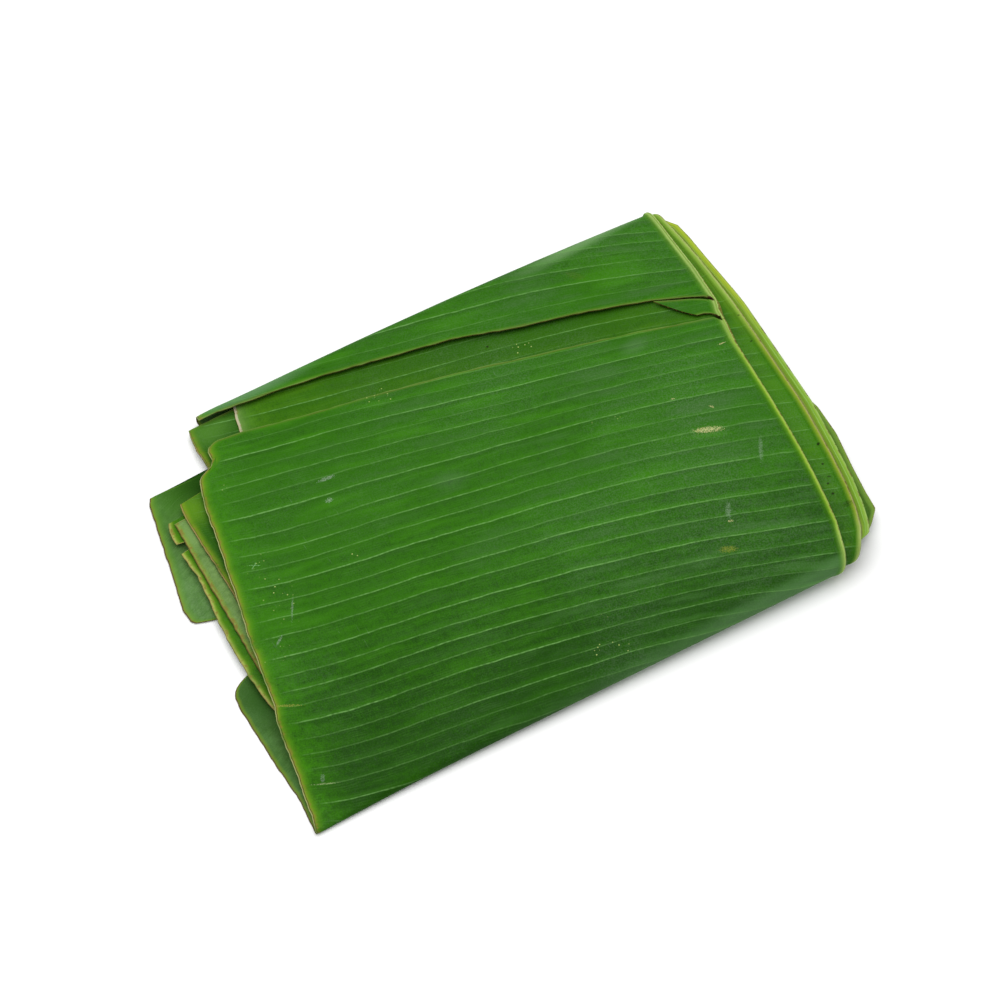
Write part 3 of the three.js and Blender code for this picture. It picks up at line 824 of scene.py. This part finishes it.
class Skin:
    """How one leaf's skin differs from the others'. Stripes are (distance, colour, cover)."""

    deep = DEEP_GREEN
    middle = MID_GREEN
    fresh = FRESH_GREEN
    cool = COOL_GREEN
    painted_shade_run = (-100.0, 10.0)      # run over which painted shade lightens from deep to middle green, away from the front fold
    streaks = 0.9
    under = (0.055, 0.145, 0.024, 1)
    under_bloom = (0.10, 0.20, 0.06, 1)
    margin = (
        (0, DRIED_BROWN, 0.8), (0.12, CREAM, 0.75), (0.42, CREAM, 0.5), (0.55, LINE_BROWN, 0.8),
        (0.85, LINE_BROWN, 0.65), (1.05, (0.24, 0.27, 0.03, 1), 0.7), (1.9, (0.15, 0.27, 0.01, 1), 0.6),
        (3.2, (0.10, 0.25, 0.008, 1), 0.4), (6, FRESH_GREEN, 0))
    margin_fresh = 0.85
    dried = 0.55                   # how much the margin is browned in runs
    under_dried = 0.15             # the same on the under face
    under_margin = (
        (0, DRIED_BROWN, 0.9), (0.35, LINE_BROWN, 0.85), (0.6, OCHRE, 0.7), (0.9, YELLOW_GREEN, 0.7),
        (2.0, (0.12, 0.26, 0.02, 1), 0.5), (5, FRESH_GREEN, 0))
    torn = (
        (0, (0.15, 0.23, 0.05, 1), 0.75), (0.4, (0.12, 0.22, 0.03, 1), 0.5),
        (1.2, (0.08, 0.20, 0.01, 1), 0.25), (2, FRESH_GREEN, 0))
    band = ((0, LIME, 0.6), (2, LIME, 0.6), (5, FRESH_GREEN, 0))
    band_back = band               # the same towards the back
    band_front = 0.3               # how pale the band turns where it bends round the front fold
    band_wall = (0.14, 0.22, 0.03, 1)
    specks = 0.0
    speck_cluster = ((0.0, 0.0), 5.0, 5.0)     # place, half length and half width of the densest
    dark_specks = 0.0
    front_fold_sheen = 0.0                     # painted sheen over the front fold, for the floor's reflection at grazing angles
    patches = ()
    under_patches = ()
    marks = ()
    holes = ()


class Spot:
    """Where on a leaf a point lies, and the effects read there."""

    def __init__(self, n):
        self.place, vein, edges = n.attribute("place"), n.attribute("vein"), n.attribute("edges")
        self.at = n.add("ShaderNodeTexCoord").outputs["Object"]
        self.x, self.run, self.straight = n.parts(self.place)
        self.to_margin, self.to_midrib, self.to_torn = n.parts(edges)
        self.veins = placed(n, VEINS, Place=self.place, Vein=vein, Edges=edges)
        self.grain = placed(n, GRAIN, Place=self.place, Vein=vein)
        self.scuffs = placed(n, SCUFFS, Position=self.at)
        self.margin = placed(n, EDGE, Place=self.place, Distance=self.to_margin, Wander=0.6)
        self.torn = placed(n, EDGE, Place=self.place, Distance=self.to_torn, Wander=0.5)
        self.midrib = placed(n, EDGE, Place=self.place, Distance=self.to_midrib, Wander=0.9)


def painted(n, spot, colour, marks, ragged, core, share=1.0):
    """Colour with marks over it, each a place, half length, half width, turn, colour and strength."""
    for centre, length, width, turn, paint, amount in marks:
        mask = placed(n, MARK, Place=n.vector(spot.x, spot.run), Centre=(*centre, 0.0), Length=length,
                      Width=width, Turn=turn, Ragged=ragged, Core=core)["Mask"]
        colour = n.mix(n.times(mask, amount, share), colour, paint)
    return colour


def outer_face(n, spot, skin):
    """Green outer face: painted shade deepening towards the front fold, fresh in patches and by the
    margin.
    """
    veins, grain, scuffs = spot.veins, spot.grain, spot.scuffs
    # Deep to middle green along the run is painted shade towards the front fold, swung by grain and noise
    tone = n.swing(n.span(spot.run, *skin.painted_shade_run), (n.noise(spot.at, 13.0, 3.0, 0.55), 0.9),
                   (grain["Strip"], 0.5), (grain["Mottle"], 1.4),
                   (grain["Pebble"], n.span(spot.x, -60.0, 60.0, 2.2, 1.2)),
                   (grain["Streaks"], skin.streaks), (grain["Fibres"], 0.4))
    green = n.mix(tone, skin.deep, skin.middle)
    patches = n.grain(spot.x, 0.022, spot.straight, 0.12, 3.0)
    fresh = n.times(n.span(patches, 0.48, 0.74, 0.0, 0.6), n.span(spot.run, -100.0, 0.0, 0.3, 1.0))
    green = n.mix(fresh, green, skin.fresh)
    cool = n.times(n.span(patches, 0.3, 0.5, 1.0, 0.0), n.span(spot.x, -140.0, 100.0, 0.15, 0.9))
    green = n.mix(cool, green, skin.cool)
    near_margin = n.times(n.span(spot.to_margin, 1.0, 26.0, skin.margin_fresh, 0.0),
                          n.span(spot.margin["Patch"], 0.3, 0.7, 0.5, 1.0),
                          n.swing(0.8, (grain["Mottle"], 2.4), (grain["Pebble"], 1.6)))
    green = n.mix(near_margin, green, skin.fresh)
    # Painted highlight on each vein's lit side and painted shade on its shaded side
    green = n.mix(n.times(veins["Lit"], 0.4), green, skin.fresh)
    green = n.mix(n.times(veins["Shaded"], 0.35), green, skin.deep)
    green = n.mix(n.times(veins["Fine"], 0.07), green, VEIN_GREEN)
    green = painted(n, spot, green, skin.patches, 0.5, 0.1)
    green = n.mix(n.times(scuffs["Bloom"], n.span(spot.x, -140.0, 120.0, 0.02, 0.05)), green, BLOOM)
    # Painted sheen over the front fold, standing in for the white floor's reflection at grazing angles
    sheen_mask = n.times(n.span(spot.run, -94.0, -101.0), n.span(spot.x, -90.0, 110.0), skin.front_fold_sheen)
    green = n.mix(sheen_mask, green, SHEEN_AND_MARK_GREEN)
    green = n.mix(n.times(veins["Line"], n.span(spot.x, -60.0, 140.0, 0.78, 0.6)), green, VEIN_GREEN)
    green = n.mix(n.times(scuffs["Scratch"], 0.08), green, BLOOM)
    centre, length, width = skin.speck_cluster
    cluster = placed(n, MARK, Place=n.vector(spot.x, spot.run), Centre=(*centre, 0.0), Length=length,
                     Width=width, Ragged=1.0, Core=0.4)["Mask"]
    cluster = n.math("MAXIMUM", cluster, n.span(n.noise(spot.at, 34.0), 0.69, 0.75))
    green = n.mix(n.times(scuffs["Pale Specks"], cluster, skin.specks), green, SPECK_PALE)
    green = n.mix(n.times(scuffs["Dark Specks"], skin.dark_specks), green, SPECK_DARK)
    worn = n.span(spot.margin["Patch"], 0.3, 0.55, 0.4, 1.0)
    return n.stripes(green, spot.margin["Off"], skin.margin, worn)


def under_face(n, spot, skin):
    """Pale under face: glaucous bloom between fine veins, a thin dried rim."""
    veins, grain = spot.veins, spot.grain
    pale = n.mix(n.swing(n.span(n.noise(spot.at, 26.0, 4.0, 0.6), 0.35, 0.7), (grain["Fibres"], 1.2),
                         (grain["Pebble"], 0.8)), skin.under, skin.under_bloom)
    pale = n.mix(n.span(grain["Mottle"], 0.3, 0.7, 0.3, 0.0), pale, DEEP_GREEN)
    pale = n.mix(n.times(spot.scuffs["Bloom"], 0.05), pale, BLOOM)
    # Painted shade on each vein's shaded side
    pale = n.mix(n.times(veins["Shaded"], 0.4), pale, MID_GREEN)
    pale = n.mix(n.times(veins["Fine"], 0.25), pale, skin.under_bloom)
    pale = n.mix(n.times(veins["Line"], 0.6), pale, skin.under_bloom)
    pale = painted(n, spot, pale, skin.under_patches, 0.5, 0.1)
    return n.stripes(pale, spot.margin["Off"], skin.under_margin)


def edges_and_marks(n, spot, skin, colour):
    """Midrib band, torn edges, cut walls, scars and holes."""
    band = n.stripes(colour, spot.midrib["Off"], skin.band)
    back_band = n.stripes(colour, spot.midrib["Off"], skin.band_back)
    band = n.mix(n.span(spot.run, 10.0, 60.0), band, back_band)
    colour = n.mix(n.span(spot.midrib["Streak"], 0.3, 0.55, 0.68, 1.0), colour, band)
    brown_run = n.times(n.span(spot.midrib["Off"], 0.2, 0.8, 1.0, 0.0),
                        n.span(n.noise(spot.place, 0.16, 4.0, 0.7), 0.5, 0.6))
    colour = n.mix(n.times(brown_run, n.span(spot.run, 30.0, 55.0, 0.8, 0.4)), colour, LINE_BROWN)
    colour = n.stripes(colour, spot.torn["Off"], skin.torn)
    front = n.times(n.span(spot.to_midrib, 0.6, 3.6, 1.0, 0.0), n.span(spot.run, -78.0, -97.0),
                    n.span(spot.midrib["Streak"], 0.3, 0.6, 0.4, 1.0), skin.band_front)
    colour = n.mix(front, colour, PALE_FOLD)
    dried_run = n.times(n.span(spot.margin["Off"], 0.4, 0.9),
                        n.span(spot.margin["Off"], 1.2, 2.6, 1.0, 0.0),
                        n.span(n.noise(spot.place, 0.28, 4.0, 0.7), 0.5, 0.58),
                        n.span(n.attribute("side", "Fac"), 0.0, 1.0, skin.under_dried, skin.dried))
    colour = n.mix(dried_run, colour, DRIED_OLIVE)
    brown_torn = n.times(n.span(spot.torn["Off"], 0.35, 0.5),
                         n.span(spot.torn["Off"], 0.7, 1.0, 1.0, 0.0),
                         n.span(spot.torn["Patch"], 0.46, 0.56))
    colour = n.mix(n.times(brown_torn, 0.35), colour, LINE_BROWN)
    wall = n.mix(n.span(n.noise(spot.place, 0.5, 3.0), 0.42, 0.6), DRIED_BROWN, OCHRE)
    wall = n.mix(n.span(spot.to_torn, 0.5, 2.0, 0.75, 0.0), wall, TORN_WALL)
    wall = n.mix(n.span(spot.to_midrib, 0.5, 2.0, 0.9, 0.0), wall, skin.band_wall)
    colour = n.mix(n.attribute("cut", "Fac"), colour, wall)
    broken = n.span(n.noise(spot.place, 1.7, 2.0, 0.6), 0.42, 0.56, 0.1, 1.0)
    colour = painted(n, spot, colour, skin.marks, 3.2, 0.85, broken)
    return painted(n, spot, colour, skin.holes, 1.2, 0.7)


def leaf_material(name, skin):
    """Leaf skin: green outer face, pale under face, veins, dried margins and the midrib band."""
    material = bpy.data.materials.new(name)
    material.use_nodes = True
    material.node_tree.nodes.clear()
    n = Nodes(material.node_tree)
    spot = Spot(n)
    faces = n.mix(n.attribute("side", "Fac"), under_face(n, spot, skin), outer_face(n, spot, skin))
    grain = spot.grain
    height = n.math("ADD", spot.veins["Height"], n.times(grain["Mottle"], 0.05))
    height = n.math("ADD", height, n.times(grain["Pebble"], 0.03))
    height = n.math("ADD", height, n.times(grain["Streaks"], 0.02))
    bump = n.add("ShaderNodeBump")
    bump.inputs["Strength"].default_value = 0.9
    bump.inputs["Distance"].default_value = MM
    n.feed(bump.inputs["Height"], height)
    surface = n.add("ShaderNodeBsdfPrincipled")
    surface.inputs["IOR"].default_value = 1.4
    surface.inputs["Specular IOR Level"].default_value = 0.04
    n.feed(surface.inputs["Base Color"], edges_and_marks(n, spot, skin, faces))
    n.feed(surface.inputs["Roughness"], n.span(grain["Mottle"], 0.3, 0.7, 0.42, 0.55))
    n.feed(surface.inputs["Normal"], bump.outputs[0])
    n.feed(n.add("ShaderNodeOutputMaterial").inputs["Surface"], surface.outputs[0])
    return material


# Pieces

def add_leaf(node, leaf, skin):
    piece = leaf_object(f"{node}_blade", leaf)
    piece.data.materials.append(leaf_material(f"{node} skin", skin))
    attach(piece, "root")
    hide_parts(node)


class OuterSkin(Skin):
    under = (0.05, 0.13, 0.02, 1)
    under_bloom = (0.085, 0.20, 0.05, 1)
    under_patches = (
        # Painted shade on the lower blade where the blade above overhangs it
        ((-147.0, -176.0), 15.0, 24.0, 0.0, (0.022, 0.08, 0.008, 1), 0.85),)
    under_margin = (
        (0, DRIED_BROWN, 0.9), (0.3, LINE_BROWN, 0.8), (0.55, OCHRE, 0.5), (0.9, YELLOW_GREEN, 0.55),
        (2.4, YELLOW_GREEN, 0))
    band = (
        (0, OCHRE, 0.8), (0.2, (0.26, 0.30, 0.08, 1), 0.9), (0.45, (0.32, 0.46, 0.09, 1), 0.9),
        (1.1, (0.28, 0.43, 0.045, 1), 0.9), (1.6, (0.16, 0.31, 0.015, 1), 0.8),
        (2.5, (0.08, 0.23, 0.004, 1), 0.5), (4.5, FRESH_GREEN, 0))
    band_back = (
        (0, OCHRE, 0.6), (0.2, PALE_LIME, 0.9), (0.55, (0.40, 0.50, 0.16, 1), 0.9),
        (0.8, (0.20, 0.32, 0.06, 1), 0.85), (1.2, (0.22, 0.34, 0.06, 1), 0.85),
        (1.6, (0.34, 0.46, 0.14, 1), 0.9), (2.1, (0.27, 0.41, 0.09, 1), 0.8),
        (3, (0.13, 0.28, 0.03, 1), 0.5), (5, FRESH_GREEN, 0))
    band_front = 0.6
    specks = 0.8
    speck_cluster = ((-118.0, 17.0), 9.0, 24.0)
    # Painted sheen over the front fold
    front_fold_sheen = 0.25
    # Place, half length, half width, turn, colour and strength of each soft patch
    patches = (
        ((112.0, 96.0), 26.0, 12.0, 0.2, FRESH_GREEN, 0.4),
        # Painted sheen on the flap by the back fold
        ((-80.0, 123.5), 45.0, 7.0, 0.0, (0.25, 0.44, 0.24, 1), 0.3),
        # Painted highlight where the flap rolls over the back fold
        ((106.0, 120.0), 46.0, 6.0, -0.04, (0.25, 0.43, 0.19, 1), 0.38),
        # Painted shade along the front fold
        ((20.0, -86.0), 110.0, 17.0, 0.0, (0.010, 0.056, 0.001, 1), 0.32),
        ((-18.0, 28.0), 12.0, 7.0, 0.3, BLOOM, 0.05),
        ((97.0, 50.0), 10.0, 6.0, 0.0, BLOOM, 0.07))
    # The same for each scar, dried spot and hole
    marks = (
        ((104.5, -9.3), 6.5, 1.6, 0.4, (0.50, 0.48, 0.22, 1), 0.8),
        ((101.0, -7.2), 2.2, 0.5, -0.2, SCAR, 0.6),
        ((-139.5, -40.3), 6.5, 0.5, 0.45, (0.26, 0.27, 0.05, 1), 0.8),
        ((-141.0, -82.0), 6.0, 0.3, 0.4, (0.35, 0.42, 0.2, 1), 0.5),
        ((135.2, 30.2), 1.8, 0.35, 0.1, CREAM, 0.9),
        ((112.5, 1.2), 1.2, 0.5, 0.9, CREAM, 0.8),
        ((98.2, 14.5), 1.1, 0.35, 0.2, CREAM, 0.7),
        ((81.0, -69.0), 3.8, 1.5, 0.4, (0.20, 0.24, 0.03, 1), 0.7),
        ((93.0, 103.0), 5.0, 2.0, 0.9, OCHRE, 0.1),
        ((-69.1, 58.3), 4.0, 1.0, 0.1, BLOOM, 0.45),
        ((-73.5, 46.8), 1.8, 1.2, 0.0, BLOOM, 0.45),
        ((90.9, -51.8), 4.0, 1.2, -1.08, BLOOM, 0.3),
        ((89.3, -57.0), 1.3, 0.5, 0.3, CREAM, 0.9),
        ((121.0, -31.0), 6.0, 1.0, -1.08, BLOOM, 0.25),
        ((-140.7, -79.1), 2.0, 0.9, -1.08, BLOOM, 0.3),
        ((-127.8, -8.9), 2.6, 0.6, -0.6, BLOOM, 0.35),
        ((-115.1, 3.0), 6.0, 0.5, -1.08, BLOOM, 0.3),
        ((-120.6, 32.6), 2.8, 0.25, 0.5, SHEEN_AND_MARK_GREEN, 0.7),
        ((-120.6, 32.6), 2.2, 0.25, -0.6, SHEEN_AND_MARK_GREEN, 0.7))
    holes = (
        ((143.6, 55.4), 2.6, 0.7, 1.25, DRIED_BROWN, 0.95),
        ((141.0, 43.8), 2.8, 0.8, 1.25, DRIED_BROWN, 0.95))


class SecondSkin(Skin):
    deep = (0.012, 0.065, 0.001, 1)
    middle = (0.03, 0.12, 0.0015, 1)
    fresh = (0.06, 0.18, 0.003, 1)
    cool = (0.025, 0.09, 0.004, 1)
    # Painted shade towards the front fold
    painted_shade_run = (-140.0, 0.0)
    streaks = 2.4
    margin = (
        (0, TAN, 0.9), (0.3, (0.46, 0.42, 0.29, 1), 0.95), (1.1, (0.44, 0.43, 0.28, 1), 0.9),
        (1.6, (0.16, 0.28, 0.07, 1), 0.6), (4.5, (0.09, 0.21, 0.035, 1), 0.4), (12, FRESH_GREEN, 0))
    band = (
        (0, (0.16, 0.14, 0.06, 1), 0.8), (0.3, (0.36, 0.32, 0.14, 1), 0.85),
        (0.6, (0.32, 0.35, 0.08, 1), 0.9), (1.2, (0.22, 0.30, 0.02, 1), 0.85),
        (2.2, (0.12, 0.24, 0.008, 1), 0.65), (3.4, FRESH_GREEN, 0.4), (6, FRESH_GREEN, 0))
    band_back = (
        (0, OCHRE, 0.8), (0.3, (0.38, 0.46, 0.16, 1), 0.9), (0.8, (0.32, 0.43, 0.10, 1), 0.9),
        (1.8, (0.22, 0.37, 0.045, 1), 0.85), (3.2, (0.15, 0.31, 0.02, 1), 0.55),
        (5.5, (0.09, 0.23, 0.006, 1), 0.3), (8, FRESH_GREEN, 0))
    specks = 0.9
    speck_cluster = ((48.0, 79.0), 11.0, 4.5)
    dark_specks = 0.9
    band_front = 0.8
    patches = (
        # Painted shade in the gap under the outer leaf's flap
        ((50.0, 91.0), 112.0, 30.0, 0.27, (0.018, 0.088, 0.0008, 1), 0.75),
        ((146.0, -20.0), 14.0, 80.0, 0.0, (0.05, 0.19, 0.003, 1), 0.5))
    marks = (
        ((143.8, -75.0), 2.4, 1.6, 0.3, SPECK_DARK, 0.6),)
    holes = (
        ((147.5, -40.9), 0.8, 0.7, 0.0, SPECK_DARK, 0.85),
        ((144.1, -51.0), 0.7, 0.6, 0.0, SPECK_DARK, 0.8),
        ((141.0, -61.1), 0.7, 0.6, 0.0, SPECK_DARK, 0.8),
        ((143.4, -58.2), 1.0, 0.5, 0.6, SPECK_DARK, 0.6),
        ((140.4, -66.8), 0.8, 0.7, 0.0, SPECK_DARK, 0.85),
        ((150.9, 40.7), 0.6, 0.5, 0.0, SPECK_DARK, 0.6),
        ((148.9, 25.1), 0.7, 0.5, 0.0, SPECK_DARK, 0.7))


class ThirdSkin(Skin):
    middle = (0.018, 0.085, 0.002, 1)
    fresh = (0.04, 0.15, 0.003, 1)
    cool = (0.016, 0.07, 0.003, 1)
    margin_fresh = 0.25
    dried = 0.5
    under_dried = 0.8
    patches = (
        ((-133.0, 78.0), 11.0, 15.0, 0.0, (0.10, 0.24, 0.008, 1), 0.75),
        ((-131.0, 47.0), 13.0, 17.0, 0.0, (0.020, 0.085, 0.003, 1), 0.7),
        ((-106.0, 115.0), 18.0, 12.0, 0.0, (0.08, 0.22, 0.025, 1), 0.6))
    under = (0.10, 0.20, 0.042, 1)
    under_bloom = (0.17, 0.29, 0.08, 1)
    under_patches = (
        ((-140.0, -262.0), 9.0, 14.0, 0.0, (0.20, 0.34, 0.10, 1), 0.5),
        ((-143.5, -276.0), 9.0, 8.0, 0.0, (0.46, 0.58, 0.30, 1), 0.9))
    margin = (
        (0, DRIED_BROWN, 0.85), (0.3, TAN, 0.8), (0.6, TAN, 0.6), (0.8, LINE_BROWN, 0.7),
        (1.1, YELLOW_GREEN, 0.8), (2.2, YELLOW_GREEN, 0.45), (4.5, FRESH_GREEN, 0))
    under_margin = (
        (0, DRIED_BROWN, 0.9), (0.4, OCHRE, 0.85), (0.8, (0.24, 0.28, 0.05, 1), 0.75),
        (1.8, YELLOW_GREEN, 0.4), (3, YELLOW_GREEN, 0))
    band = (
        (0, (0.24, 0.36, 0.08, 1), 0.9), (0.5, (0.30, 0.46, 0.11, 1), 0.95),
        (1.0, (0.24, 0.40, 0.05, 1), 0.9), (1.9, (0.17, 0.34, 0.025, 1), 0.95),
        (2.2, (0.30, 0.47, 0.12, 1), 0.85), (2.5, (0.17, 0.34, 0.025, 1), 0.95),
        (3.6, (0.20, 0.32, 0.03, 1), 0.9),
        (4.4, (0.24, 0.26, 0.08, 1), 0.85), (4.8, LINE_BROWN, 0.8),
        (5.3, (0.22, 0.30, 0.04, 1), 0.7), (9, FRESH_GREEN, 0))
    band_back = (
        (0, (0.20, 0.22, 0.05, 1), 0.9), (0.4, (0.34, 0.43, 0.06, 1), 0.95),
        (1.4, (0.32, 0.42, 0.03, 1), 0.95), (2.4, (0.24, 0.36, 0.02, 1), 0.95),
        (2.8, (0.32, 0.45, 0.08, 1), 0.85), (3.2, (0.20, 0.33, 0.03, 1), 0.9),
        (4.6, (0.14, 0.28, 0.02, 1), 0.8), (5.0, OCHRE, 0.7), (5.4, (0.12, 0.24, 0.02, 1), 0.7),
        (9, FRESH_GREEN, 0))
    band_wall = (0.24, 0.34, 0.06, 1)


class FourthSkin(Skin):
    fresh = (0.045, 0.16, 0.002, 1)
    dried = 0.8
    under = (0.075, 0.18, 0.036, 1)
    under_bloom = (0.14, 0.28, 0.085, 1)
    under_patches = (
        # Darker green on the lower blade's top end: partly its own deeper green, partly painted shade
        # under the leaves above it
        ((-126.0, 136.0), 36.0, 21.0, 0.0, (0.036, 0.135, 0.006, 1), 0.85),
        ((-118.0, 133.0), 26.0, 19.0, 0.0, (0.010, 0.05, 0.001, 1), 0.97))
    margin = (
        (0, DRIED_BROWN, 0.8), (0.25, TAN, 0.85), (0.8, (0.38, 0.42, 0.10, 1), 0.85),
        (1.6, (0.20, 0.32, 0.03, 1), 0.75), (2.6, (0.09, 0.22, 0.006, 1), 0.5), (5, FRESH_GREEN, 0))
    band = (
        (0, OCHRE, 0.7), (0.3, (0.22, 0.32, 0.05, 1), 0.85), (1.2, (0.17, 0.30, 0.04, 1), 0.8),
        (3.5, (0.12, 0.25, 0.03, 1), 0.6), (8, FRESH_GREEN, 0))
    band_back = band


add_leaf("outer_leaf", OuterLeaf(), OuterSkin)
add_leaf("second_leaf", SecondLeaf(), SecondSkin)
add_leaf("third_leaf", ThirdLeaf(), ThirdSkin)
add_leaf("fourth_leaf", FourthLeaf(), FourthSkin)


# Floor, light and camera

def plain_floor():
    half = 4.0
    mesh = bpy.data.meshes.new("floor")
    corners = [(-half, -half, 0), (half, -half, 0), (half, half, 0), (-half, half, 0)]
    mesh.from_pydata(corners, [], [(0, 1, 2, 3)])
    floor = bpy.data.objects.new("floor", mesh)
    material = bpy.data.materials.new("white floor")
    material.use_nodes = True
    skin = material.node_tree.nodes["Principled BSDF"]
    skin.inputs["Base Color"].default_value = (0.93, 0.93, 0.93, 1)
    skin.inputs["Roughness"].default_value = 1
    skin.inputs["Specular IOR Level"].default_value = 0
    mesh.materials.append(material)
    bpy.context.scene.collection.objects.link(floor)


def area_light(name, place, target, size, power):
    light = bpy.data.lights.new(name, "AREA")
    light.shape = "DISK"
    light.size = size
    light.energy = power
    holder = bpy.data.objects.new(name, light)
    holder.location = place
    holder.rotation_euler = (Vector(target) - Vector(place)).to_track_quat("-Z", "Y").to_euler()
    bpy.context.scene.collection.objects.link(holder)


def studio_world(strength):
    world = bpy.data.worlds.new("soft studio")
    world.use_nodes = True
    background = world.node_tree.nodes["Background"]
    background.inputs["Color"].default_value = (1, 1, 1, 1)
    background.inputs["Strength"].default_value = strength
    bpy.context.scene.world = world


def photo_camera():
    """Camera 60 degrees above the ground, turned towards the midrib end."""
    elevation, turn = math.radians(60), math.radians(28.3)
    aim = Vector((-0.00435, -0.00604, 0.018))
    distance = 1.502
    sensor, focal_share = 36, 3.13
    ahead = Vector((math.sin(turn) * math.cos(elevation), math.cos(turn) * math.cos(elevation),
                    -math.sin(elevation)))
    right = Vector((math.cos(turn), -math.sin(turn), 0))
    above = right.cross(ahead)
    data = bpy.data.cameras.new("camera")
    data.sensor_width = sensor
    data.lens = sensor * focal_share
    camera = bpy.data.objects.new("camera", data)
    camera.matrix_world = Matrix.Translation(aim - ahead * distance) @ Matrix(
        (right, above, -ahead)).transposed().to_4x4()
    bpy.context.scene.collection.objects.link(camera)
    bpy.context.scene.camera = camera


plain_floor()
area_light("overhead softbox", place=(0.1, 0.6, 2.5), target=(0, 0, 0), size=3.0, power=62)
studio_world(strength=0.6)
photo_camera()
bpy.context.scene.view_settings.view_transform = "Standard"
